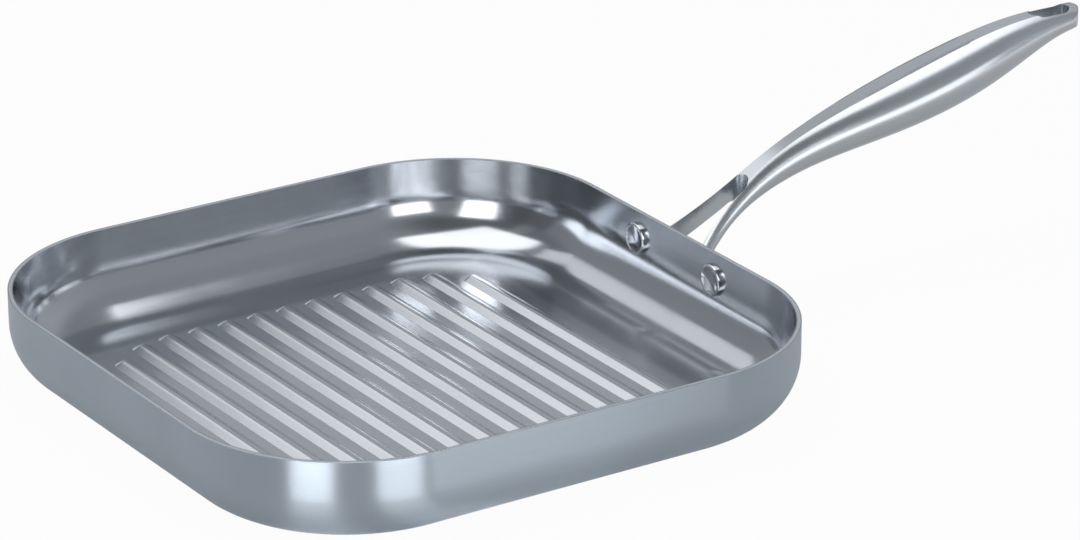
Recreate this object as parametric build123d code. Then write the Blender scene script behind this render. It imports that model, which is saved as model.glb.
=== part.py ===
from build123d import *
import math
import os

# A square grill pan of clad steel sheet with a riveted, welded hollow handle.
# Millimetres, +Z up. The origin is the middle of the base, on the surface that
# the pan stands on. +X points along the handle, and the ribs run along Y.

# Pan body, measured on the outside
pan_width = 280.0            # along X, over the walls
pan_length = 280.0           # along Y, over the walls
pan_depth = 40.0             # from the table to the rim
corner_radius = 74.0         # of the four corners, seen from above
bottom_radius = 26.0         # from the walls into the base

# The three bonded layers of the sheet
outer_ply_thickness = 0.5
core_thickness = 1.2
inner_ply_thickness = 0.5

# Ribs, pressed up through all three layers
rib_pitch = 14.5
rib_height = 2.2
rib_flank_angle = 57.0       # degrees from upright
rib_crown_width = 2.6        # across the top, before its edges are rounded
rib_crown_share = 0.95       # of the widest rounding that fits the top
rib_field_margin = 44.0      # from the outside of the side walls to the ribbed field
rib_end_margin = 40.5        # from the outside of the end walls to the ribs' ends
rib_field_radius = 39.0      # the end ribs follow this rounded corner
rib_field_width = pan_width - 2 * rib_field_margin
rib_field_length = pan_length - 2 * rib_end_margin
rib_width = rib_crown_width + 2 * rib_height * math.tan(math.radians(rib_flank_angle))
rib_top_radius = rib_crown_share * rib_crown_width / 2 / math.tan(math.radians((90 - rib_flank_angle) / 2))
rib_count = int((rib_field_width - rib_width) / rib_pitch) + 1

# Rivets through the wall beside the handle
rivet_spacing = 57.0
rivet_drop = 12.0            # from the rim down to the rivets' axes
rivet_shank_diameter = 6.4
rivet_head_diameter = 14.2
rivet_head_thickness = 2.0
rivet_head_rounding = 0.6
rivet_tail_diameter = 10.5
rivet_tail_thickness = 1.8

# Mounting bracket: a plate on the outside of the wall with two legs
flange_thickness = 2.8
flange_width = 88.0
flange_height = 22.0
flange_top_drop = 2.5        # from the rim down to the plate's top edge
flange_corner_radius = 8.0
bracket_reach = 20.0         # from the wall to the welds on the legs

# Handle, from the wall outwards
handle_reach = 212.5         # from the wall to the tip of the tail
handle_rise = 102.4          # highest point above the table
handle_width = 29.0          # at the thickest place of the grip
handle_thickness = 27.2      # there, top to bottom
handle_wall = 1.2            # sheet of the two half shells
top_face_width = 10.2        # flat band along the top, at its widest

# Gap between the legs of the fork
fork_root_width = 29.0       # between the legs at the wall
fork_waist_width = 11.6      # between the legs near the crotch
fork_reach = 34.5            # from the wall to the crotch
fork_end_wall = 1.6          # closes the hollow behind the crotch
fork_bend_share = 0.25       # of the reach: where the legs have turned outwards
fork_flare_share = 1.5       # of half the waist: how far they stand apart there

# Hanging eye through the tail, lined with a sleeve
eye_length = 20.5
eye_end_wall = 4.6           # metal between the eye and the tip
eye_side_wall = 2.4          # metal each side of the eye at its middle
sleeve_wall = 0.8

cut_overrun = 5.0            # cutters pass the faces that they cut by this

sheet = outer_ply_thickness + core_thickness + inner_ply_thickness
half_width = pan_width / 2
inner_wall_x = half_width - sheet
flange_face_x = half_width + flange_thickness
weld_x = half_width + bracket_reach
rivet_z = pan_depth - rivet_drop
rivet_places = {"rivet_left": rivet_spacing / 2, "rivet_right": -rivet_spacing / 2}

# Sections of the handle, from the wall to past the tip. Each place is a share of
# handle_reach, each top a share of handle_rise, and each thickness, half width
# and top band a share of the largest one. The last one lies beyond the tip.
station_shares = (0.0, 0.047, 0.094, 0.141, 0.187, 0.244, 0.309, 0.384,
                  0.468, 0.562, 0.656, 0.749, 0.834, 0.909, 0.965, 1.012)
top_shares = (0.337, 0.410, 0.479, 0.545, 0.606, 0.666, 0.723, 0.775,
              0.828, 0.882, 0.930, 0.972, 0.995, 1.0, 0.999, 0.996)
thickness_shares = (0.386, 0.423, 0.412, 0.445, 0.504, 0.574, 0.651, 0.750,
                    0.864, 0.963, 1.0, 0.956, 0.779, 0.537, 0.401, 0.342)
width_shares = (1.276, 0.910, 0.662, 0.545, 0.510, 0.531, 0.614, 0.752,
                0.897, 0.993, 0.986, 0.883, 0.710, 0.566, 0.497, 0.469)
band_shares = (2.94, 1.86, 1.216, 0.843, 0.686, 0.647, 0.686, 0.843,
               0.961, 1.0, 0.922, 0.843, 0.745, 0.686, 0.627, 0.588)

# Shape of one section: how its two side curves leave the band and the bottom
widest_level_share = 0.46    # of the thickness, from the bottom
shoulder_out_share = 0.45
shoulder_drop_share = 0.10
flank_share = 0.5
belly_share = 0.55


def envelope(depth):
    """The pan's volume inside the surface that lies this deep in the sheet."""
    outline = RectangleRounded(pan_width - 2 * depth, pan_length - 2 * depth, corner_radius - depth)
    block = extrude(Pos(0, 0, depth) * outline, pan_depth - depth)
    return fillet(block.edges().group_by(Axis.Z)[0], bottom_radius - depth)


def rib_half_length(x):
    """Half the length of the rib at this x: the field's corners are rounded."""
    straight = rib_field_length / 2 - rib_field_radius
    past = max(abs(x) - (rib_field_width / 2 - rib_field_radius), 0)
    return straight + math.sqrt(max(rib_field_radius**2 - past**2, 0))


def rib(depth, x):
    """One rib, as it shows on the surface that lies this deep in the sheet."""
    below = sheet - depth
    narrower = below * math.tan(math.radians((90 - rib_flank_angle) / 2))
    foot = rib_width - 2 * narrower
    length = 2 * (rib_half_length(x) - narrower)
    outline = Rot(0, 0, 90) * SlotOverall(length, foot)
    bar = extrude(Pos(x, 0, depth) * outline, rib_height, taper=rib_flank_angle)
    return fillet(bar.edges().group_by(Axis.Z)[-1], rib_top_radius - below)


def surface(depth):
    """Everything inside the sheet's surface at this depth, with its ribs left out."""
    first = -(rib_count - 1) / 2
    ribs = [rib(depth, (first + i) * rib_pitch) for i in range(rib_count)]
    return envelope(depth) - ribs


def along_x(radius, start, end, y):
    """A round bar parallel to X, level with the rivets."""
    bar = Cylinder(radius, end - start, align=(Align.CENTER, Align.CENTER, Align.MIN))
    return Pos(start, y, rivet_z) * Rot(0, 90, 0) * bar


def rivet_hole(y):
    inside = inner_wall_x - cut_overrun
    outside = flange_face_x + cut_overrun
    return along_x(rivet_shank_diameter / 2, inside, outside, y)


def ply(outside, inside):
    """One layer of the sheet, between two of its surfaces, drilled for the rivets."""
    return outside - inside - [rivet_hole(y) for y in rivet_places.values()]


def rivet(y, clad_sheet):
    """A rivet: low head on the cooking side, shank, and the tail closed on the plate."""
    head_face = inner_wall_x - rivet_head_thickness
    head = along_x(rivet_head_diameter / 2, head_face, inner_wall_x + sheet / 2, y)
    head = fillet(head.edges().group_by(Axis.X)[0], rivet_head_rounding)
    head = head - clad_sheet
    shank = along_x(rivet_shank_diameter / 2, inner_wall_x - rivet_head_thickness / 2, flange_face_x, y)
    tail = along_x(rivet_tail_diameter / 2, flange_face_x, flange_face_x + rivet_tail_thickness, y)
    tail = fillet(tail.edges().group_by(Axis.X)[-1], rivet_tail_thickness / 2)
    return head + shank + tail


def handle_section(i, inset):
    """Cross-section of the handle at station i, drawn this far inside its skin."""
    x = half_width + station_shares[i] * handle_reach
    top = top_shares[i] * handle_rise
    bottom = top - thickness_shares[i] * handle_thickness + inset
    top = top - inset
    side = width_shares[i] * handle_width / 2 - inset
    band = band_shares[i] * top_face_width / 2 - inset / 2
    middle = bottom + widest_level_share * (top - bottom)
    shoulder = band + shoulder_out_share * (side - band)
    drop = top - shoulder_drop_share * (top - bottom)
    flank = middle + flank_share * (top - middle)
    belly = middle - belly_share * (middle - bottom)
    edges = [Line((x, -band, top), (x, band, top))]
    for s in (1, -1):
        widest = (x, s * side, middle)
        edges.append(Bezier((x, s * band, top), (x, s * shoulder, drop), (x, s * side, flank), widest))
        under = (x, s * belly_share * side, bottom)
        edges.append(Bezier(widest, (x, s * side, belly), under, (x, 0, bottom)))
    return Face(Wire(edges))


def plan_prism(outline):
    """An upright prism over a plan outline, tall enough to cut the whole handle."""
    return extrude(Pos(0, 0, -cut_overrun) * outline, handle_rise + 2 * cut_overrun)


def tail_half_width():
    """Half the handle's width over the middle of the eye."""
    middle = 1 - (eye_end_wall + eye_length / 2) / handle_reach
    last = next(i for i, share in enumerate(station_shares) if share >= middle)
    a, b = station_shares[last - 1], station_shares[last]
    t = (middle - a) / (b - a)
    share = width_shares[last - 1] * (1 - t) + width_shares[last] * t
    return share * handle_width / 2


def handle_skin():
    """The whole outside of the fork, grip and tail as one body."""
    count = len(station_shares)
    body = loft([handle_section(i, 0) for i in range(count)])
    return body & tail_limit(0)


def tail_limit(inset):
    """Plan of the handle's length, with the tail's round end."""
    radius = tail_half_width()
    tip = half_width + handle_reach - inset
    start = half_width - cut_overrun
    wide = handle_width * width_shares[0]
    back = Pos((start + tip - radius) / 2, 0) * Rectangle(tip - radius - start, wide)
    end = Pos(tip - radius, 0) * Circle(radius - inset / 2)
    return plan_prism(back + end)


def eye_outline(outward):
    """Plan of the hanging eye, grown outward by this much."""
    half = tail_half_width() - eye_side_wall + outward
    length = eye_length + 2 * outward
    middle = half_width + handle_reach - eye_end_wall - eye_length / 2
    return Pos(middle, 0) * SlotOverall(length, 2 * half)


def fork_gap():
    """The upright cut between the two legs, open towards the pan."""
    root = fork_root_width / 2
    waist = fork_waist_width / 2
    crotch = half_width + fork_reach
    neck = crotch - waist
    start = half_width - cut_overrun
    bend = half_width + fork_bend_share * fork_reach
    inner_sides = []
    for s in (1, -1):
        flare = (bend, s * fork_flare_share * waist)
        inner_sides.append(Bezier((half_width, s * root), flare, (neck - waist, s * waist), (neck, s * waist)))
    nose = ThreePointArc((neck, waist), (crotch, 0), (neck, -waist))
    back = Polyline((half_width, root), (start, root), (start, -root), (half_width, -root))
    return plan_prism(make_face([*inner_sides, nose, back]))


def handle_hollow():
    """The closed space inside the two shells, from behind the crotch to the tail."""
    count = len(station_shares)
    space = loft([handle_section(i, handle_wall) for i in range(count)])
    start = half_width + fork_reach + fork_end_wall
    end = half_width + handle_reach + cut_overrun
    wide = handle_width + 2 * cut_overrun
    behind = Pos((start + end) / 2, 0) * Rectangle(end - start, wide)
    return space & tail_limit(handle_wall) & plan_prism(behind)


def side_half(side):
    """Everything on one side of the handle's middle plane, past the welds."""
    start = weld_x
    end = half_width + handle_reach + cut_overrun
    wide = handle_width + cut_overrun
    return plan_prism(Pos((start + end) / 2, side * wide / 2) * Rectangle(end - start, wide))


def handle_shells(skin):
    """The two stamped halves, welded to each other along the top and the bottom."""
    whole = skin - handle_hollow() - fork_gap() - plan_prism(eye_outline(sleeve_wall))
    return whole & side_half(1), whole & side_half(-1)


def eye_sleeve(skin):
    """Lines the eye and closes the hollow round it; trimmed flush with the skin."""
    tube = plan_prism(eye_outline(sleeve_wall)) - plan_prism(eye_outline(0))
    return skin & tube


def flange(pan_outside):
    """Plate that follows the outside of the wall, with round corners."""
    middle_z = pan_depth - flange_top_drop - flange_height / 2
    outline = RectangleRounded(flange_width, flange_height, flange_corner_radius)
    window = extrude(Plane.YZ * outline, flange_face_x)
    around = envelope(-flange_thickness) - pan_outside
    near = half_width - bottom_radius
    return Pos(0, 0, middle_z) * window & around & Pos(near, 0, 0) * Box(
        flange_face_x, pan_length, handle_rise, align=(Align.MIN, Align.CENTER, Align.MIN)
    )


def mounting_bracket(skin, pan_outside):
    """Plate and leg stubs in one piece, drilled for the rivets."""
    reach = Pos((half_width + weld_x) / 2, 0) * Rectangle(weld_x - half_width, flange_width)
    legs = skin & plan_prism(reach)
    legs = legs - fork_gap()
    body = flange(pan_outside) + legs
    return body - [rivet_hole(y) for y in rivet_places.values()]


def build():
    """Every sub-part of the pan, by its node's name."""
    depths = (0, outer_ply_thickness, outer_ply_thickness + core_thickness, sheet)
    outside, under_core, over_core, inside = [surface(depth) for depth in depths]
    pan_outside = envelope(0)
    clad_sheet = pan_outside - envelope(sheet)
    skin = handle_skin()
    left_shell, right_shell = handle_shells(skin)
    parts = {
        "outer_ply": ply(outside, under_core),
        "aluminium_core": ply(under_core, over_core),
        "inner_ply": ply(over_core, inside),
        "mounting_bracket": mounting_bracket(skin, pan_outside),
        "handle_left_shell": left_shell,
        "handle_right_shell": right_shell,
        "hanging_eye_sleeve": eye_sleeve(skin),
    }
    for name, y in rivet_places.items():
        parts[name] = rivet(y, clad_sheet)
    return parts


def main():
    os.makedirs("parts", exist_ok=True)
    for name, shape in build().items():
        export_step(shape, f"parts/{name}.step")
        print(f"{name}: {len(shape.solids())} solid, {shape.volume:.0f} cubic millimetres")


main()
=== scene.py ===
import math

import bmesh
import bpy
from mathutils import Matrix, Vector


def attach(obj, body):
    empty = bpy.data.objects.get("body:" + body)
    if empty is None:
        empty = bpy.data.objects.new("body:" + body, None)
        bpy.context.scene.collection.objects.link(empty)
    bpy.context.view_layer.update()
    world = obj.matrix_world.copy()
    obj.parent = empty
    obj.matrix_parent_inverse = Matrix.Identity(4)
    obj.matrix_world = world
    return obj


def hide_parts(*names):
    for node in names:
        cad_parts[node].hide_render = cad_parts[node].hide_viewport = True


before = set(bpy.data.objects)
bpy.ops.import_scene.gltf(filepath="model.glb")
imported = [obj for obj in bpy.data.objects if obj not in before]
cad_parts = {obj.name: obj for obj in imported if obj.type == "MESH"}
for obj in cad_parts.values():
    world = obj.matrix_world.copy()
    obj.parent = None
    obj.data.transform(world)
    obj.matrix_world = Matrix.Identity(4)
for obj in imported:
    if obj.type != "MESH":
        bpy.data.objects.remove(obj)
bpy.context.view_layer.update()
mm = 0.001
sharpBend = 35  # degrees: edges that bend more than this stay sharp
closeBy = 0.01 * mm  # points nearer than this count as one


def dropSelection():
    if bpy.context.mode != "OBJECT":
        bpy.ops.object.mode_set(mode="OBJECT")
    bpy.ops.object.select_all(action="DESELECT")


def pickOnly(piece):
    dropSelection()
    piece.select_set(True)
    bpy.context.view_layer.objects.active = piece


def newPiece(name):
    # names the primitive that was just added and opens it for editing
    piece = bpy.context.active_object
    piece.name = name
    piece.data.name = name
    pickOnly(piece)
    bpy.ops.object.transform_apply(location=True, rotation=True, scale=True)
    bpy.ops.object.mode_set(mode="EDIT")
    return piece


def pickParts(piece, kind, test):
    # selects the vertices, edges or faces whose place (and normal) pass the test
    bpy.ops.mesh.select_all(action="DESELECT")
    bpy.ops.mesh.select_mode(type=kind)
    cage = bmesh.from_edit_mesh(piece.data)
    for part in {"VERT": cage.verts, "EDGE": cage.edges, "FACE": cage.faces}[kind]:
        if kind == "VERT":
            part.select_set(test(part.co))
        elif kind == "EDGE":
            a, b = part.verts
            part.select_set(test(a.co, b.co))
        else:
            part.select_set(test(part.calc_center_median(), part.normal))
    cage.select_flush_mode()
    bmesh.update_edit_mesh(piece.data)


def finishWith(piece, kind, **settings):
    pickOnly(piece)
    modifier = piece.modifiers.new(kind.title(), kind)
    for key, value in settings.items():
        setattr(modifier, key, value)
    bpy.ops.object.modifier_apply(modifier=modifier.name)


def smoothFaces(piece):
    pickOnly(piece)
    bpy.ops.object.shade_smooth_by_angle(angle=math.radians(sharpBend))


def twin(piece, name):
    copy = piece.copy()
    copy.data = piece.data.copy()
    copy.name = copy.data.name = name
    bpy.context.collection.objects.link(copy)
    return copy


def joinAll(first, others):
    pickOnly(first)
    for other in others:
        other.select_set(True)
    bpy.ops.object.join()
    return first


def cutBy(piece, cutter, operation="DIFFERENCE"):
    finishWith(piece, "BOOLEAN", object=cutter, operation=operation, solver="EXACT")
    bpy.data.objects.remove(cutter)


pan = {
    "side": 280 * mm,
    "depth": 40 * mm,
    "cornerRadius": 74 * mm,
    "bottomRadius": 26 * mm,
    "sheet": 2.2 * mm,
    "ply": 0.5 * mm,          # outer and inner steel layers
    "cornerSteps": 36,
    "bottomSteps": 16,
    "edgeStrip": 1.0 * mm,    # flat strip that keeps the rounding off the floor
}
ribs = {
    "pitch": 14.5 * mm,
    "width": 9.4 * mm,
    "height": 2.2 * mm,
    "flank": 33,              # degrees up from the floor
    "topRadius": 4.2 * mm,
    "footRadius": 0.4 * mm,
    "field": 192 * mm,
    "fieldRadius": 39 * mm,
    "overrun": 3.5 * mm,      # how far each rib's end runs past the field
    "count": 13,
    "skirt": 0.3 * mm,        # flat strip round each rib's foot
    "endSteps": 12,
    "arcSteps": 10,
}


def bowlSkin(name, deep):
    # one face of the sheet, from the rim down to the edge of the floor
    half = pan["side"] / 2 - deep
    bpy.ops.mesh.primitive_plane_add(size=2 * half, location=(0, 0, pan["depth"]))
    skin = newPiece(name)
    bpy.ops.mesh.bevel(offset=pan["cornerRadius"] - deep, segments=pan["cornerSteps"], affect="VERTICES")
    bpy.ops.mesh.flip_normals()
    pickParts(skin, "FACE", lambda centre, normal: True)
    drop = pan["depth"] - pan["bottomRadius"]
    bpy.ops.mesh.extrude_region_move(TRANSFORM_OT_translate={"value": (0, 0, -drop)})
    radius = pan["bottomRadius"] - deep
    turn = math.pi / 2 / pan["bottomSteps"]
    for i in range(pan["bottomSteps"]):
        a, b = i * turn, (i + 1) * turn
        inward = radius * (math.cos(a) - math.cos(b))
        down = radius * (math.sin(b) - math.sin(a))
        bpy.ops.mesh.inset(thickness=inward, depth=down)
    bpy.ops.mesh.inset(thickness=pan["edgeStrip"], depth=0)
    bpy.ops.mesh.delete(type="ONLY_FACE")
    pickParts(skin, "FACE", lambda centre, normal: centre.z > pan["depth"] - mm and abs(normal.z) > 0.9)
    bpy.ops.mesh.delete(type="ONLY_FACE")
    return skin


def ribHalfLength(x):
    straight = ribs["field"] / 2 - ribs["fieldRadius"]
    past = max(abs(x) - straight, 0)
    return straight + math.sqrt(ribs["fieldRadius"] ** 2 - past ** 2) + ribs["overrun"]


def ribSteps(footRadius, topRadius):
    # the rib's cross-section as steps inward and up: foot curve, flank, crown
    angle = math.radians(ribs["flank"])
    arcs = (footRadius + topRadius) * (1 - math.cos(angle))
    flank = (ribs["height"] - arcs) / math.sin(angle)
    turns = [angle * i / ribs["arcSteps"] for i in range(ribs["arcSteps"] + 1)]
    steps = [(ribs["skirt"], 0)]
    for a, b in zip(turns, turns[1:]):
        steps.append((footRadius * (math.sin(b) - math.sin(a)), footRadius * (math.cos(a) - math.cos(b))))
    steps.append((flank * math.cos(angle), flank * math.sin(angle)))
    for b, a in reversed(list(zip(turns, turns[1:]))):
        steps.append((topRadius * (math.sin(a) - math.sin(b)), topRadius * (math.cos(b) - math.cos(a))))
    return steps


def ribStamp(name, x, deep):
    # one rib as it shows on this face of the sheet, with a flat skirt round it
    footRadius = ribs["footRadius"] + pan["sheet"] - deep
    topRadius = ribs["topRadius"] - pan["sheet"] + deep
    halfTurn = math.tan(math.radians(ribs["flank"] / 2))
    spread = ribs["footRadius"] * halfTurn + ribs["skirt"]
    wide = ribs["width"] + 2 * spread
    long = 2 * ribHalfLength(x) + 2 * spread
    bpy.ops.mesh.primitive_plane_add(size=1, location=(x, 0, deep))
    bpy.context.active_object.scale = (wide, long, 1)
    rib = newPiece(name)
    bpy.ops.mesh.bevel(offset=wide / 2, segments=ribs["endSteps"], affect="VERTICES")
    bpy.ops.mesh.select_all(action="SELECT")
    bpy.ops.mesh.remove_doubles(threshold=closeBy)
    pickParts(rib, "FACE", lambda centre, normal: True)
    for inward, up in ribSteps(footRadius, topRadius):
        bpy.ops.mesh.inset(thickness=inward, depth=up)
    dropSelection()
    return rib


def sheetLayer(name, deep, thickness, up):
    # one layer of the sheet: a face of it, given its thickness towards the middle
    layer = sheetFace(name, deep)
    faceUp(layer, up)
    finishWith(layer, "SOLIDIFY", thickness=thickness, offset=-1, use_even_offset=True)
    smoothFaces(layer)
    return layer


def sheetFace(name, deep):
    # bowl and ribs in one surface, the flat floor filled in between them
    skin = bowlSkin(name, deep)
    dropSelection()
    first = -(ribs["count"] - 1) / 2
    stamps = [ribStamp(f"rib{i}", (first + i) * ribs["pitch"], deep) for i in range(ribs["count"])]
    joinAll(skin, stamps)
    bpy.ops.object.mode_set(mode="EDIT")
    bpy.ops.mesh.select_mode(type="EDGE")
    bpy.ops.mesh.select_all(action="DESELECT")
    cage = bmesh.from_edit_mesh(skin.data)
    for edge in cage.edges:
        low = max(v.co.z for v in edge.verts) < deep + closeBy
        edge.select_set(edge.is_boundary and low)
    bmesh.update_edit_mesh(skin.data)
    bpy.ops.mesh.fill()
    bpy.ops.mesh.select_all(action="SELECT")
    bpy.ops.mesh.normals_make_consistent(inside=False)
    bpy.ops.object.mode_set(mode="OBJECT")
    return skin


def faceUp(piece, up):
    # turns the whole sheet so that its floor faces up or down
    pickOnly(piece)
    bpy.ops.object.mode_set(mode="EDIT")
    cage = bmesh.from_edit_mesh(piece.data)
    cage.faces.ensure_lookup_table()
    biggest = max(cage.faces, key=lambda face: face.calc_area() * abs(face.normal.z))
    if (biggest.normal.z > 0) != up:
        bpy.ops.mesh.select_all(action="SELECT")
        bpy.ops.mesh.flip_normals()
    bpy.ops.object.mode_set(mode="OBJECT")


outside = sheetLayer("panOutside", 0, pan["ply"], False)
core = sheetLayer("panCore", pan["ply"], pan["sheet"] - 2 * pan["ply"], False)
inside = sheetLayer("panInside", pan["sheet"], pan["ply"], True)
print("stage: pan body")

handle = {
    # x, top, bottom, half width, half of the flat band on top
    "sections": (
        (140, 34.5, 24.0, 18.5, 15.0), (150, 42.0, 30.5, 13.2, 9.5), (160, 49.0, 37.8, 9.6, 6.2),
        (170, 55.8, 43.7, 7.9, 4.3), (180, 62.1, 48.3, 7.4, 3.5), (192, 68.2, 52.6, 7.7, 3.3),
        (206, 74.0, 56.3, 8.9, 3.5), (222, 79.4, 59.0, 10.9, 4.3), (240, 84.8, 61.3, 13.0, 4.9),
        (260, 90.3, 64.1, 14.4, 5.1), (280, 95.2, 68.0, 14.3, 4.7), (300, 99.5, 73.5, 12.8, 4.3),
        (318, 101.9, 80.7, 10.3, 3.8), (334, 102.4, 87.8, 8.2, 3.5), (346, 102.3, 91.4, 7.2, 3.2),
        (358, 102.0, 92.7, 6.8, 3.0),
    ),
    "sideSteps": 6,           # points on each curve of the section
    "widest": 0.46,           # height of the widest place, as a share of the thickness
    "shoulderOut": 0.45,      # how the side curves leave the band and the bottom
    "shoulderDrop": 0.10,
    "flank": 0.5,
    "belly": 0.55,
    "rounding": 2,            # subdivision levels of the skin
    "weldX": 160 * mm,
    "tipX": 352.5 * mm,
    "tailRadius": 7.3 * mm,
    "tipRounding": 9 * mm,    # the lower edge of the tail's end
    "tipUnder": 91.8 * mm,
    "tipLead": 1.6,           # of the rounding: where its cutter comes up behind it
    "tipLeadDrop": 2 * mm,
    "tipFoot": 70 * mm,       # and how far behind the tip it starts to rise
    "tipSteps": 25,
    "tipRoundingSteps": 11,
    "crotchX": 174.5 * mm,
    "waist": 5.8 * mm,        # half the gap between the legs near the crotch
    "root": 14.5 * mm,        # and at the wall
    "bendShare": 0.25,        # of the gap's length: where the legs have turned outwards
    "flareShare": 1.5,        # of the waist: how far they stand apart there
    "legSteps": 16,
    "noseSteps": 17,          # odd, so that no point lies on the handle's middle line
    "eyeStart": 327.4 * mm,
    "eyeEnd": 347.9 * mm,
    "eyeHalf": 4.9 * mm,
    "eyeSteps": 25,
    "sleeve": 0.8 * mm,
}
# how far the handle's cutters reach past it, and lowBack and lowest for the one drawn across it
cutters = {"bottom": -10 * mm, "top": 120 * mm, "side": 40 * mm, "back": 5 * mm,
           "lowBack": 10 * mm, "lowest": 10 * mm}


def curvePoint(a, b, c, d, t):
    s = 1 - t
    shares = (s ** 3, 3 * s * s * t, 3 * s * t * t, t ** 3)
    return tuple(sum(share * value for share, value in zip(shares, values)) for values in zip(a, b, c, d))


def sectionPoints(row):
    # one closed section, from the left ridge round the bottom to the right ridge
    x, top, bottom, side, band = row
    middle = bottom + handle["widest"] * (top - bottom)
    shoulder = (band + handle["shoulderOut"] * (side - band), top - handle["shoulderDrop"] * (top - bottom))
    upper = ((band, top), shoulder, (side, middle + handle["flank"] * (top - middle)), (side, middle))
    belly = handle["belly"]
    lower = ((side, middle), (side, middle - belly * (middle - bottom)), (belly * side, bottom), (0, bottom))
    steps = handle["sideSteps"]
    half = [curvePoint(*upper, i / steps) for i in range(steps)]
    half += [curvePoint(*lower, i / steps) for i in range(steps + 1)]
    ring = half + [(-y, z) for y, z in reversed(half[:-1])]
    return [Vector((x, y, z)) * mm for y, z in ring]


def handleSkin():
    # a ring at the wall, drawn out from station to station and shaped at each one
    rows = handle["sections"]
    bpy.ops.mesh.primitive_circle_add(vertices=len(sectionPoints(rows[0])), radius=10 * mm, fill_type="NGON")
    skin = newPiece("handleSkin")
    bpy.ops.mesh.select_mode(type="FACE")
    bpy.ops.mesh.select_all(action="SELECT")
    for i, row in enumerate(rows):
        if i:
            ahead = (row[0] - rows[i - 1][0]) * mm
            bpy.ops.mesh.extrude_region_move(TRANSFORM_OT_translate={"value": (ahead, 0, 0)})
        cage = bmesh.from_edit_mesh(skin.data)
        cap = next(face for face in cage.faces if face.select)
        for vert, place in zip(cap.verts, sectionPoints(row)):
            vert.co = place
        bmesh.update_edit_mesh(skin.data)
    cage = bmesh.from_edit_mesh(skin.data)
    crease = cage.edges.layers.float.new("crease_edge")
    bands = {round(band * mm, 6) for x, top, bottom, side, band in rows}
    for edge in cage.edges:
        # the two ridges of the flat band and the end's outline stay sharp
        along = abs(edge.verts[0].co.x - edge.verts[1].co.x) > mm
        ridge = all(round(abs(v.co.y), 6) in bands and v.co.z > 0.9 * topAt(v.co.x) for v in edge.verts)
        end = len(edge.link_faces) == 2 and any(len(face.verts) > 4 for face in edge.link_faces)
        if (along and ridge) or end:
            edge[crease] = 1
    bmesh.update_edit_mesh(skin.data)
    bpy.ops.mesh.select_all(action="SELECT")
    bpy.ops.mesh.normals_make_consistent(inside=False)
    finishWith(skin, "SUBSURF", levels=handle["rounding"], render_levels=handle["rounding"])
    return skin


def topAt(x):
    return next(row[1] * mm for row in handle["sections"] if abs(row[0] * mm - x) < 0.1 * mm)


def drawnCutter(name, outline, placed, reach):
    # a flat outline, put in place point by point and drawn out into a solid
    bpy.ops.mesh.primitive_circle_add(vertices=len(outline), radius=10 * mm, fill_type="NGON")
    cutter = newPiece(name)
    cage = bmesh.from_edit_mesh(cutter.data)
    for vert, point in zip(next(iter(cage.faces)).verts, outline):
        vert.co = placed(*point)
    bmesh.update_edit_mesh(cutter.data)
    bpy.ops.mesh.select_all(action="SELECT")
    bpy.ops.mesh.extrude_region_move(TRANSFORM_OT_translate={"value": reach})
    bpy.ops.mesh.select_all(action="SELECT")
    bpy.ops.mesh.normals_make_consistent(inside=False)
    dropSelection()
    return cutter


def upright(name, outline):
    bottom, top = cutters["bottom"], cutters["top"]
    return drawnCutter(name, outline, lambda x, y: (x, y, bottom), (0, 0, top - bottom))


def slotOutline(startX, endX, half):
    # an odd number of steps keeps its points off the handle's middle line
    steps = handle["eyeSteps"]
    points = []
    for i in range(steps + 1):
        a = -math.pi / 2 + math.pi * i / steps
        points.append((endX - half + half * math.cos(a), half * math.sin(a)))
    for i in range(steps + 1):
        a = math.pi / 2 + math.pi * i / steps
        points.append((startX + half + half * math.cos(a), half * math.sin(a)))
    return points


def gapOutline():
    # the space between the legs, open towards the pan
    wall, waist, root = pan["side"] / 2, handle["waist"], handle["root"]
    neck = handle["crotchX"] - waist
    bend = wall + handle["bendShare"] * (handle["crotchX"] - wall)
    curve = ((wall, root), (bend, handle["flareShare"] * waist), (neck - waist, waist), (neck, waist))
    side = [curvePoint(*curve, i / handle["legSteps"]) for i in range(1, handle["legSteps"])]
    turns = [math.pi * i / handle["noseSteps"] for i in range(handle["noseSteps"] + 1)]
    nose = [(neck + waist * math.sin(a), waist * math.cos(a)) for a in turns]
    behind = wall - cutters["back"]
    return [(behind, root)] + side + nose + [(x, -y) for x, y in reversed(side)] + [(behind, -root)]


def tailOutline():
    # what the tail's rounded end leaves of the handle, seen from above
    tip, radius, steps = handle["tipX"], handle["tailRadius"], handle["tipSteps"]
    side, behind = cutters["side"], pan["side"] / 2 - cutters["back"]
    turns = [-math.pi / 2 + math.pi * i / steps for i in range(steps + 1)]
    nose = [(tip - radius + radius * math.cos(a), radius * math.sin(a)) for a in turns]
    return [(behind, -side), (tip - side, -side)] + nose + [(tip - side, side), (behind, side)]


def tailRounding():
    # a cutter drawn across the handle: it rounds the lower edge of the tail's end
    tip, radius, under = handle["tipX"], handle["tipRounding"], handle["tipUnder"]
    side, top, steps = cutters["side"], cutters["top"], handle["tipRoundingSteps"]
    behind, low = pan["side"] / 2 - cutters["lowBack"], cutters["lowest"]
    lead = (tip - handle["tipLead"] * radius, under - handle["tipLeadDrop"])
    turns = [math.pi / 2 * i / steps for i in range(steps + 1)]
    outline = [(behind, top), (behind, low), (tip - handle["tipFoot"], low), lead]
    outline += [(tip - radius * (1 - math.sin(a)), under + radius * (1 - math.cos(a))) for a in turns]
    outline += [(tip, top)]
    return drawnCutter("tailRounding", outline, lambda x, z: (x, -side, z), (0, 2 * side, 0))


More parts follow.
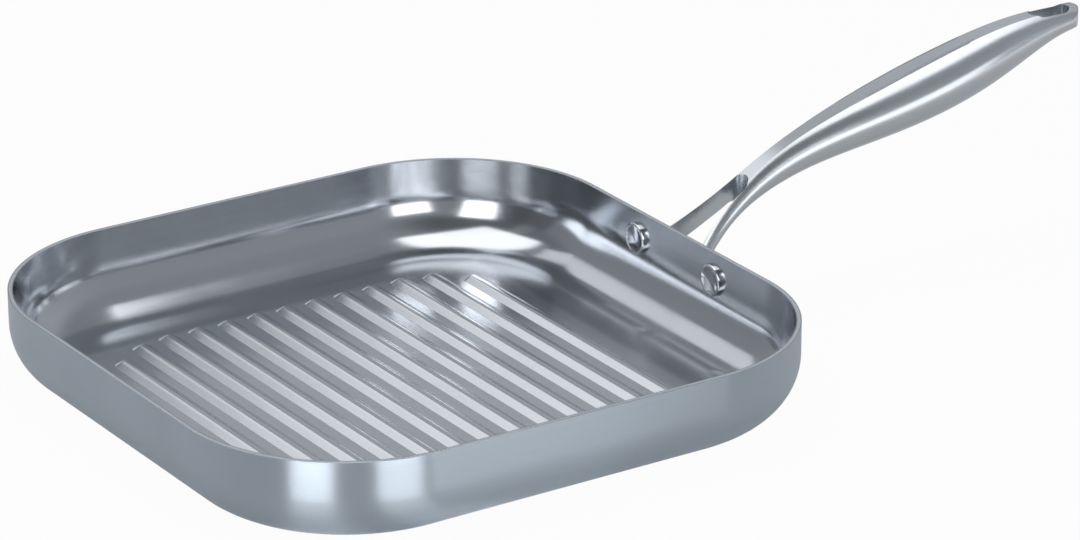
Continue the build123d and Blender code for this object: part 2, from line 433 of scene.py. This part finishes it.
def keepPart(piece, name, sideOf):
    # a closed copy of the part of the piece on the kept side of one or more planes
    copy = twin(piece, name)
    pickOnly(copy)
    bpy.ops.object.mode_set(mode="EDIT")
    for place, outward in sideOf:
        bpy.ops.mesh.select_all(action="SELECT")
        bpy.ops.mesh.bisect(plane_co=place, plane_no=outward, use_fill=True, clear_outer=True)
    dropSelection()
    return copy


skin = handleSkin()
cutBy(skin, upright("tailLimit", tailOutline()), "INTERSECT")
cutBy(skin, tailRounding(), "INTERSECT")
cutBy(skin, upright("forkGap", gapOutline()))
sleeveHole = slotOutline(handle["eyeStart"] - handle["sleeve"], handle["eyeEnd"] + handle["sleeve"],
                         handle["eyeHalf"] + handle["sleeve"])
solidTail = twin(skin, "eyeSleeve")
cutBy(skin, upright("sleeveHole", sleeveHole))
weld = (handle["weldX"], 0, 0)
leftShell = keepPart(skin, "handleLeft", [(weld, (-1, 0, 0)), ((0, 0, 0), (0, -1, 0))])
rightShell = keepPart(skin, "handleRight", [(weld, (-1, 0, 0)), ((0, 0, 0), (0, 1, 0))])
legs = keepPart(skin, "bracket", [(weld, (1, 0, 0))])
bpy.data.objects.remove(skin)
cutBy(solidTail, upright("sleeveOutside", sleeveHole), "INTERSECT")
eye = slotOutline(handle["eyeStart"], handle["eyeEnd"], handle["eyeHalf"])
cutBy(solidTail, upright("eyeHole", eye))
for piece in (leftShell, rightShell, legs, solidTail):
    smoothFaces(piece)
print("stage: handle")

plate = {"width": 88 * mm, "height": 22 * mm, "thickness": 2.8 * mm, "drop": 2.5 * mm, "corner": 8 * mm,
         "cornerSteps": 10, "bands": 10}
rivet = {
    "spacing": 57 * mm,
    "z": 28 * mm,
    "head": 14.2 * mm,
    "headThick": 2 * mm,
    "ease": 0.6 * mm,         # rounding of the head's edge
    "rim": 0.9 * mm,          # flat ring round the sunk middle of the head
    "step": 0.25 * mm,
    "sunk": 0.12 * mm,
    "shank": 6.4 * mm,
    "tail": 10.5 * mm,
    "tailThick": 1.8 * mm,
    "tailEase": 0.9 * mm,
    "sides": 64,
    "easeSteps": 5,
}


def bracketPlate():
    # a flat plate with rounded corners, cut into bands so that its lower part follows the pan's curve
    middle = pan["depth"] - plate["drop"] - plate["height"] / 2
    wall = pan["side"] / 2
    bpy.ops.mesh.primitive_plane_add(size=1, location=(wall, 0, middle), rotation=(0, math.pi / 2, 0))
    bpy.context.active_object.scale = (plate["height"], plate["width"], 1)
    piece = newPiece("plate")
    bpy.ops.mesh.bevel(offset=plate["corner"], segments=plate["cornerSteps"], affect="VERTICES")
    radius = pan["bottomRadius"]
    bottom = middle - plate["height"] / 2
    for i in range(plate["bands"] + 1):
        z = bottom + (radius - bottom) * i / plate["bands"]
        bpy.ops.mesh.select_all(action="SELECT")
        bpy.ops.mesh.bisect(plane_co=(wall, 0, z), plane_no=(0, 0, 1))
    bpy.ops.object.mode_set(mode="OBJECT")
    for vert in piece.data.vertices:
        under = radius - vert.co.z
        if under > 0:
            vert.co.x -= radius - math.sqrt(radius ** 2 - under ** 2)
    return piece


plateSkin = bracketPlate()
finishWith(plateSkin, "SOLIDIFY", thickness=plate["thickness"], offset=1, use_even_offset=True)
joinAll(legs, [plateSkin])
smoothFaces(legs)


def roundBar(radius, length, x, y):
    # a short round bar across the wall, from x onwards, named and opened for editing
    place = (x + length / 2, y, rivet["z"])
    bpy.ops.mesh.primitive_cylinder_add(vertices=rivet["sides"], radius=radius, depth=length,
                                        location=place, rotation=(0, math.pi / 2, 0))
    return newPiece("bar")


def rivetPiece(name, y):
    # head and shank from one bar, and the closed tail outside the bracket from another
    wall = pan["side"] / 2 - pan["sheet"]
    outer = pan["side"] / 2 + plate["thickness"]
    piece = roundBar(rivet["head"] / 2, rivet["headThick"], wall - rivet["headThick"], y)
    piece.name = piece.data.name = name
    pickParts(piece, "FACE", lambda centre, normal: normal.x < -0.9)
    bpy.ops.mesh.bevel(offset=rivet["ease"], segments=rivet["easeSteps"])
    pickParts(piece, "FACE", lambda centre, normal: normal.x < -0.99)
    bpy.ops.mesh.inset(thickness=rivet["rim"], depth=0)
    bpy.ops.mesh.inset(thickness=rivet["step"], depth=-rivet["sunk"])
    pickParts(piece, "FACE", lambda centre, normal: normal.x > 0.9)
    bpy.ops.mesh.inset(thickness=(rivet["head"] - rivet["shank"]) / 2, depth=0)
    bpy.ops.mesh.extrude_region_move(TRANSFORM_OT_translate={"value": (outer - wall, 0, 0)})
    dropSelection()
    tail = roundBar(rivet["tail"] / 2, rivet["tailThick"], outer, y)
    pickParts(tail, "FACE", lambda centre, normal: normal.x > 0.9)
    bpy.ops.mesh.bevel(offset=rivet["tailEase"], segments=rivet["easeSteps"])
    dropSelection()
    joinAll(piece, [tail])
    smoothFaces(piece)
    return piece


rivetLeft = rivetPiece("rivetLeft", rivet["spacing"] / 2)
rivetRight = rivetPiece("rivetRight", -rivet["spacing"] / 2)
print("stage: bracket and rivets")


def addNode(tree, kind, feeds=None, **settings):
    # one node; feeds gives its inputs, each a plain value or another node's output
    node = tree.nodes.new("ShaderNode" + kind)
    for key, value in settings.items():
        setattr(node, key, value)
    for key, value in (feeds or {}).items():
        if isinstance(value, bpy.types.NodeSocket):
            tree.links.new(value, node.inputs[key])
        else:
            node.inputs[key].default_value = value
    return node


def maths(tree, operation, a, b=0.0, c=0.0):
    return addNode(tree, "Math", {0: a, 1: b, 2: c}, operation=operation).outputs[0]


def stretched(tree, place, scale, turn=(0, 0, 0)):
    return addNode(tree, "Mapping", {"Vector": place, "Scale": scale, "Rotation": turn}).outputs[0]


def cloudy(tree, place, scale, detail=1.0):
    return addNode(tree, "TexNoise", {"Vector": place, "Scale": scale, "Detail": detail}).outputs["Fac"]


def ramped(tree, value, low, high):
    # 0 below low, 1 above high, eased between them
    return addNode(tree, "MapRange", {"Value": value, "From Min": low, "From Max": high},
                   interpolation_type="SMOOTHSTEP").outputs[0]


def mixed(tree, share, a, b):
    return addNode(tree, "Mix", {0: share, 2: a, 3: b}, data_type="FLOAT").outputs[0]


def mixedColour(tree, share, a, b):
    return addNode(tree, "Mix", {0: share, 6: a, 7: b}, data_type="RGBA").outputs[2]


def newGroup(name, inputs, outputs):
    group = bpy.data.node_groups.new(name, "ShaderNodeTree")
    for label, kind in inputs:
        group.interface.new_socket(name=label, in_out="INPUT", socket_type="NodeSocket" + kind)
    for label, kind in outputs:
        group.interface.new_socket(name=label, in_out="OUTPUT", socket_type="NodeSocket" + kind)
    return group, group.nodes.new("NodeGroupInput").outputs, group.nodes.new("NodeGroupOutput").inputs


grainLook = {"fineDetail": 2.0, "broadScale": 0.22, "broadShare": 0.35}
marksLook = {
    "cloudScale": 14.0,
    "cloudDetail": 3.0,
    "patchFrom": 0.46,
    "patchTo": 0.72,
    "hairTurns": (0.6, -1.1),        # radians: which way the two sets of scratches run
    "hairTilt": 0.2,
    "hairScale": (14, 1900, 1900),
    "hairFrom": 0.70,
    "hairTo": 0.78,
    "placesScale": 30.0,             # where scratches gather
    "placesFrom": 0.5,
    "placesTo": 0.62,
}


def brushedGrainGroup():
    # fine and broad lines left by the belt; Place is stretched along them before it comes in
    inputs, outputs = [("Place", "Vector"), ("Broad", "Float")], [("Grain", "Float")]
    group, given, result = newGroup("brushedGrain", inputs, outputs)
    fine = cloudy(group, given["Place"], 1.0, grainLook["fineDetail"])
    broad = cloudy(group, given["Place"], grainLook["broadScale"])
    group.links.new(mixed(group, given["Broad"], fine, broad), result["Grain"])
    return group


def handlingMarksGroup():
    # faint wiping smudges, and a few hairline scratches that cross each other
    look = marksLook
    inputs = [("Place", "Vector"), ("Smudges", "Float"), ("Scratches", "Float")]
    outputs = [("Dull", "Float"), ("Scratch", "Float"), ("Tone", "Float")]
    group, given, result = newGroup("handlingMarks", inputs, outputs)
    cloud = cloudy(group, given["Place"], look["cloudScale"], look["cloudDetail"])
    patch = ramped(group, cloud, look["patchFrom"], look["patchTo"])
    hairs = []
    for turn in look["hairTurns"]:
        swung = stretched(group, given["Place"], look["hairScale"], (0, look["hairTilt"] * turn, turn))
        lines = ramped(group, cloudy(group, swung, 1.0, 0.0), look["hairFrom"], look["hairTo"])
        places = cloudy(group, given["Place"], look["placesScale"] + turn, 0.0)
        where = ramped(group, places, look["placesFrom"], look["placesTo"])
        hairs.append(maths(group, "MULTIPLY", lines, where))
    hair = maths(group, "MAXIMUM", *hairs)
    group.links.new(maths(group, "MULTIPLY", patch, given["Smudges"]), result["Dull"])
    group.links.new(maths(group, "MULTIPLY", hair, given["Scratches"]), result["Scratch"])
    group.links.new(cloud, result["Tone"])
    return group


def sheenToneGroup():
    # a colour that drifts a little between lighter and darker steel, darker in the grain
    inputs = [("Colour", "Color"), ("Tone", "Float"), ("Grain", "Float"), ("Depth", "Float")]
    group, given, result = newGroup("sheenTone", inputs, [("Colour", "Color")])
    both = maths(group, "ADD", given["Grain"], given["Tone"])
    level = maths(group, "SUBTRACT", maths(group, "MULTIPLY_ADD", both, given["Depth"], 1.0), given["Depth"])
    shade = addNode(group, "CombineColor", {0: level, 1: level, 2: level}).outputs[0]
    feeds = {0: 1.0, 6: given["Colour"], 7: shade}
    toned = addNode(group, "Mix", feeds, data_type="RGBA", blend_type="MULTIPLY")
    group.links.new(toned.outputs[2], result["Colour"])
    return group


brushedGrain, handlingMarks, sheenTone = brushedGrainGroup(), handlingMarksGroup(), sheenToneGroup()

finishes = {
    "outer": {"colour": (0.515, 0.583, 0.650), "rough": 0.30, "grain": (55, 55, 2600), "grainRough": 0.10,
              "grainBump": 0.35, "smudges": 0.05, "scratches": 0.25, "depth": 0.10,
              "stretch": 1.0, "stretchTurn": 0.25},
    "cooking": {"colour": (0.54, 0.565, 0.60), "rough": 0.15, "grain": (45, 45, 2200), "grainRough": 0.07,
                "grainBump": 0.16, "smudges": 0.05, "scratches": 0.35, "depth": 0.08,
                "floorColour": (0.72, 0.745, 0.78), "floorRough": 0.19, "floorGrain": (1500, 40, 1500)},
    "bracket": {"colour": (0.60, 0.625, 0.655), "rough": 0.17, "grain": (60, 1500, 1500), "grainRough": 0.06,
                "grainBump": 0.12, "smudges": 0.04, "scratches": 0.2, "depth": 0.08, "across": 0.35},
    "handle": {"colour": (0.60, 0.63, 0.665), "rough": 0.20, "grain": (38, 1500, 1500), "grainRough": 0.10,
               "grainBump": 0.13, "smudges": 0.05, "scratches": 0.15, "depth": 0.10, "across": 0.35},
    "rivet": {"colour": (0.70, 0.715, 0.74), "rough": 0.04, "grain": (2600, 2600, 2600), "grainRough": 0.05,
              "grainBump": 0.15, "smudges": 0.03, "scratches": 0.3, "depth": 0.06, "turned": True},
    "core": {"colour": (0.86, 0.885, 0.92), "rough": 0.28, "grain": (700, 700, 2500), "grainRough": 0.10,
             "grainBump": 0.3, "smudges": 0.04, "scratches": 0.1, "depth": 0.08},
    "bumpHeight": 0.02 * mm,  # how deep the belt lines are where grainBump is 1
    "fieldFrom": 1 * mm,      # past the ribbed field's edge, its polish starts to fade here
    "fieldTo": 7 * mm,
    "endOnFrom": 0.25,        # how squarely a face must look along X to lose the belt's lines
    "endOnTo": 0.65,
}


def useGroup(tree, group, **feeds):
    node = tree.nodes.new("ShaderNodeGroup")
    node.node_tree = group
    for key, value in feeds.items():
        if isinstance(value, bpy.types.NodeSocket):
            tree.links.new(value, node.inputs[key])
        else:
            node.inputs[key].default_value = value
    return node.outputs


def turnedPlace(tree, apart, closeness):
    # rings about each rivet's own middle, as a lathe leaves them
    across = maths(tree, "SUBTRACT", maths(tree, "ABSOLUTE", apart["Y"]), rivet["spacing"] / 2)
    high = maths(tree, "SUBTRACT", apart["Z"], rivet["z"])
    flat = addNode(tree, "CombineXYZ", {0: across, 1: high, 2: 0.0}).outputs[0]
    out = addNode(tree, "VectorMath", {0: flat}, operation="LENGTH").outputs["Value"]
    return addNode(tree, "CombineXYZ", {0: maths(tree, "MULTIPLY", out, closeness)}).outputs[0]


def steel(name, finish):
    # brushed metal: grain, smudges and scratches shape its colour, its roughness and its bump
    material = bpy.data.materials.new(name)
    material.use_nodes = True
    tree = material.node_tree
    shader = tree.nodes["Principled BSDF"]
    shader.inputs["Metallic"].default_value = 1
    place = addNode(tree, "TexCoord").outputs["Object"]
    apart = addNode(tree, "SeparateXYZ", {0: place}).outputs
    broad = grainLook["broadShare"]
    along = stretched(tree, place, finish["grain"])
    if "turned" in finish:
        along = turnedPlace(tree, apart, finish["grain"][0])
    grain = useGroup(tree, brushedGrain, Place=along, Broad=broad)["Grain"]
    rough, colour, scratches = finish["rough"], (*finish["colour"], 1), finish["scratches"]
    if "across" in finish:
        # the belt's lines run along X, so the faces that look along X don't show them
        facing = addNode(tree, "SeparateXYZ", {0: addNode(tree, "TexCoord").outputs["Normal"]}).outputs["X"]
        endOn = ramped(tree, maths(tree, "ABSOLUTE", facing), finishes["endOnFrom"], finishes["endOnTo"])
        grain = mixed(tree, endOn, grain, finish["across"])
        scratches = mixed(tree, endOn, scratches, 0.0)
    if "floorColour" in finish:
        # the ribbed field is polished brighter than the plain metal round it
        out = maths(tree, "MAXIMUM", maths(tree, "ABSOLUTE", apart["X"]), maths(tree, "ABSOLUTE", apart["Y"]))
        edge = ribs["field"] / 2
        wall = ramped(tree, out, edge + finishes["fieldFrom"], edge + finishes["fieldTo"])
        lines = useGroup(tree, brushedGrain, Place=stretched(tree, place, finish["floorGrain"]), Broad=broad)
        grain = mixed(tree, wall, lines["Grain"], grain)
        rough = mixed(tree, wall, finish["floorRough"], rough)
        colour = mixedColour(tree, wall, (*finish["floorColour"], 1), colour)
    marks = useGroup(tree, handlingMarks, Place=place, Smudges=finish["smudges"], Scratches=scratches)
    tone = useGroup(tree, sheenTone, Colour=colour, Tone=marks["Tone"], Grain=grain, Depth=finish["depth"])
    about = maths(tree, "SUBTRACT", grain, 0.5)
    uneven = maths(tree, "MULTIPLY_ADD", about, finish["grainRough"], marks["Dull"])
    tree.links.new(tone["Colour"], shader.inputs["Base Color"])
    tree.links.new(maths(tree, "ADD", rough, uneven), shader.inputs["Roughness"])
    grooves = maths(tree, "MULTIPLY", marks["Scratch"], -1.0)
    height = maths(tree, "MULTIPLY_ADD", grain, finish["grainBump"], grooves)
    bump = addNode(tree, "Bump", {"Strength": 1.0, "Distance": finishes["bumpHeight"], "Height": height})
    tree.links.new(bump.outputs[0], shader.inputs["Normal"])
    if "stretch" in finish:
        # the belt's lines run level round the wall, so they draw each highlight out upwards
        shader.inputs["Anisotropic"].default_value = finish["stretch"]
        shader.inputs["Anisotropic Rotation"].default_value = finish["stretchTurn"]
        tangent = addNode(tree, "Tangent", direction_type="RADIAL", axis="Z")
        tree.links.new(tangent.outputs[0], shader.inputs["Tangent"])
    return material


def dress(piece, material, slot, *nodes):
    piece.data.materials.clear()
    piece.data.materials.append(material)
    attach(piece, "root")
    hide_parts(*nodes)


dress(outside, steel("outerSteel", finishes["outer"]), "outer_steel", "outer_ply")
dress(core, steel("coreAluminium", finishes["core"]), "core_aluminium", "aluminium_core")
dress(inside, steel("cookingSteel", finishes["cooking"]), "cooking_steel", "inner_ply")
dress(legs, steel("bracketSteel", finishes["bracket"]), "bracket_steel", "mounting_bracket")
handleSteel = steel("handleSteel", finishes["handle"])
dress(leftShell, handleSteel, "handle_steel", "handle_left_shell")
dress(rightShell, handleSteel, "handle_steel", "handle_right_shell")
dress(solidTail, handleSteel, "handle_steel", "hanging_eye_sleeve")
rivetSteel = steel("rivetSteel", finishes["rivet"])
dress(rivetLeft, rivetSteel, "rivet_steel", "rivet_left")
dress(rivetRight, rivetSteel, "rivet_steel", "rivet_right")
print("stage: finishes")


softboxes = {
    # name: azimuth and elevation seen from the pan, distance, width, height, brightness
    "rightBox": (-93, 14, 2.2, 1.05, 1.10, 2.6),
    "leftBox": (-144, 21, 2.2, 0.90, 1.55, 3.1),
    "backBox": (98, 43, 2.2, 1.00, 0.70, 0.70),
    "handleSideBox": (62, 40, 2.2, 2.20, 1.50, 0.20),
    "handleLowBox": (-68, 9, 1.25, 1.10, 0.36, 1.3),
    "outerRightBox": (-95, 7, 2.2, 1.00, 0.50, 6.0),
    "outerMidBox": (-68, 7, 2.2, 0.60, 0.50, 3.5),
    "outerLeftBox": (-144, 7, 2.2, 0.90, 0.50, 6.5),
}
overheadBoxes = {
    # name: where its middle hangs, width, length, brightness
    "overheadBox": ((-0.02, 0.20, 0.77), 0.70, 0.60, 1.6),
    "handleTopBox": ((0.40, -0.115, 0.77), 0.85, 0.43, 1.4),
}
studioWalls = (
    # azimuth in degrees, how bright the studio is there
    (-180, 0.12), (-163, 0.12), (-120, 0.30), (-60, 0.38), (0, 0.5), (45, 0.80), (65, 0.80), (78, 0.3),
    (90, 0.04), (108, 0.04), (125, 0.16), (160, 0.28),
)
studioCeiling = (
    (-180, 0.15), (-105, 0.15), (-60, 0.36), (60, 0.40), (120, 0.30), (165, 0.20),
)
floorLook = {
    "size": 12,
    "below": 0.1 * mm,
    "colour": (0.6, 0.6, 0.6, 1),
    "rough": 0.9,
    "share": 0.96,
    # how much of it the metal shows: a painted shade, dimmer near the pan as if in its shadow, more further
    # out
    "shade": {"From Min": 0.25, "From Max": 1.2, "To Min": 0.2, "To Max": 0.9},
}
# lamps whose names start so are shaded from everything but these pieces
onlyFor = {"handle": (leftShell, rightShell, solidTail, legs), "outer": (outside,)}
tint = (0.955, 1.0, 1.055)
ceilingEdge = (29, 45)  # degrees up: where the walls start to pass into the ceiling, and where they have
centre = Vector((0.05, 0, 0.02))


def addSoftbox(name, place, facing, width, height, brightness):
    light = bpy.data.lights.new(name, "AREA")
    light.shape = "RECTANGLE"
    light.size = width
    light.size_y = height
    light.energy = brightness * math.pi * width * height
    lamp = bpy.data.objects.new(name, light)
    lamp.location = place
    lamp.rotation_euler = Vector(facing).to_track_quat("-Z", "Y").to_euler()
    lamp.visible_camera = False
    for start, pieces in onlyFor.items():
        if name.startswith(start):
            lit = bpy.data.collections.new(name + "Lights")
            for piece in pieces:
                lit.objects.link(piece)
            lamp.light_linking.receiver_collection = lit
    bpy.context.collection.objects.link(lamp)


def greyRamp(tree, turn, levels):
    # a level for each azimuth, blended in between
    node = addNode(tree, "ValToRGB", {0: turn})
    stops = node.color_ramp.elements
    while len(stops) > 1:
        stops.remove(stops[-1])
    for i, (azimuth, level) in enumerate(levels):
        stop = stops[0] if i == 0 else stops.new(0.5)
        stop.position = (azimuth + 180) / 360
        stop.color = (*[level * c for c in tint], 1)
    return node.outputs[0]


def studioAir():
    # paler and darker walls round the pan, and a ceiling over them
    world = bpy.data.worlds.new("studioAir")
    bpy.context.scene.world = world
    world.use_nodes = True
    tree = world.node_tree
    apart = addNode(tree, "SeparateXYZ", {0: addNode(tree, "TexCoord").outputs["Generated"]}).outputs
    azimuth = maths(tree, "ARCTAN2", apart["Y"], apart["X"])
    turn = addNode(tree, "MapRange", {"Value": azimuth, "From Min": -math.pi, "From Max": math.pi}).outputs[0]
    low, high = (math.sin(math.radians(degrees)) for degrees in ceilingEdge)
    height = ramped(tree, apart["Z"], low, high)
    walls, ceiling = greyRamp(tree, turn, studioWalls), greyRamp(tree, turn, studioCeiling)
    tree.links.new(mixedColour(tree, height, walls, ceiling), tree.nodes["Background"].inputs["Color"])


def studioFloor():
    # a pale floor that glows for the camera, and less for what the metal shows of it
    bpy.ops.mesh.primitive_plane_add(size=floorLook["size"], location=(0, 0, -floorLook["below"]))
    floor = bpy.context.active_object
    floor.name = "studioFloor"
    material = bpy.data.materials.new("paleFloor")
    material.use_nodes = True
    tree = material.node_tree
    shader = tree.nodes["Principled BSDF"]
    shader.inputs["Base Color"].default_value = floorLook["colour"]
    shader.inputs["Roughness"].default_value = floorLook["rough"]
    place = addNode(tree, "TexCoord").outputs["Object"]
    # painted shade: what the metal shows of the floor is dimmed near the pan, where the pan's shadow would
    # lie
    away = addNode(tree, "VectorMath", {0: place}, operation="LENGTH").outputs["Value"]
    shade = addNode(tree, "MapRange", {"Value": away, **floorLook["shade"]}, interpolation_type="SMOOTHSTEP")
    rays = addNode(tree, "LightPath").outputs
    mirrored = maths(tree, "MAXIMUM", rays["Is Glossy Ray"], rays["Is Transmission Ray"])
    seen = maths(tree, "MAXIMUM", rays["Is Camera Ray"], maths(tree, "MULTIPLY", mirrored, shade.outputs[0]))
    share = maths(tree, "MULTIPLY", seen, floorLook["share"])
    glow = addNode(tree, "Emission").outputs[0]
    mix = addNode(tree, "MixShader")
    for i, source in enumerate((share, shader.outputs["BSDF"], glow)):
        tree.links.new(source, mix.inputs[i])
    tree.links.new(mix.outputs[0], tree.nodes["Material Output"].inputs["Surface"])
    floor.data.materials.append(material)


def studio():
    # the floor, the air and every softbox, each turned towards the pan
    studioFloor()
    studioAir()
    for name, (azimuth, elevation, distance, width, height, brightness) in softboxes.items():
        a, e = math.radians(azimuth), math.radians(elevation)
        away = Vector((math.cos(a) * math.cos(e), math.sin(a) * math.cos(e), math.sin(e)))
        addSoftbox(name, centre + distance * away, -away, width, height, brightness)
    for name, (place, width, length, brightness) in overheadBoxes.items():
        addSoftbox(name, place, (0, 0, -1), width, length, brightness)


photoView = {
    # the photograph's viewpoint, found by matching the rim, the rivets and the handle
    "azimuth": -33.111,
    "elevation": 22.137,
    "roll": -0.1216,
    "target": Vector((119.837, 78.541, 0)) * mm,
    "distance": 2397.13 * mm,
    "lens": 181.30,
    "sensor": 36,
    "clip": (0.01, 100),
}


def photoCamera():
    azimuth, elevation, roll = (math.radians(photoView[key]) for key in ("azimuth", "elevation", "roll"))
    level = math.cos(elevation)
    back = Vector((math.sin(azimuth) * level, -math.cos(azimuth) * level, math.sin(elevation)))
    right = Vector((math.cos(azimuth), math.sin(azimuth), 0))
    up = back.cross(right)
    x = math.cos(roll) * right + math.sin(roll) * up
    y = -math.sin(roll) * right + math.cos(roll) * up
    lens = bpy.data.cameras.new("photoCamera")
    lens.sensor_width = photoView["sensor"]
    lens.lens = photoView["lens"]
    lens.clip_start, lens.clip_end = photoView["clip"]
    camera = bpy.data.objects.new("photoCamera", lens)
    place = photoView["target"] + back * photoView["distance"]
    camera.matrix_world = Matrix(((x.x, y.x, back.x, place.x), (x.y, y.y, back.y, place.y),
                                  (x.z, y.z, back.z, place.z), (0, 0, 0, 1)))
    bpy.context.collection.objects.link(camera)
    bpy.context.scene.camera = camera


studio()
photoCamera()
bpy.context.scene.view_settings.view_transform = "Standard"
print("stage: studio")
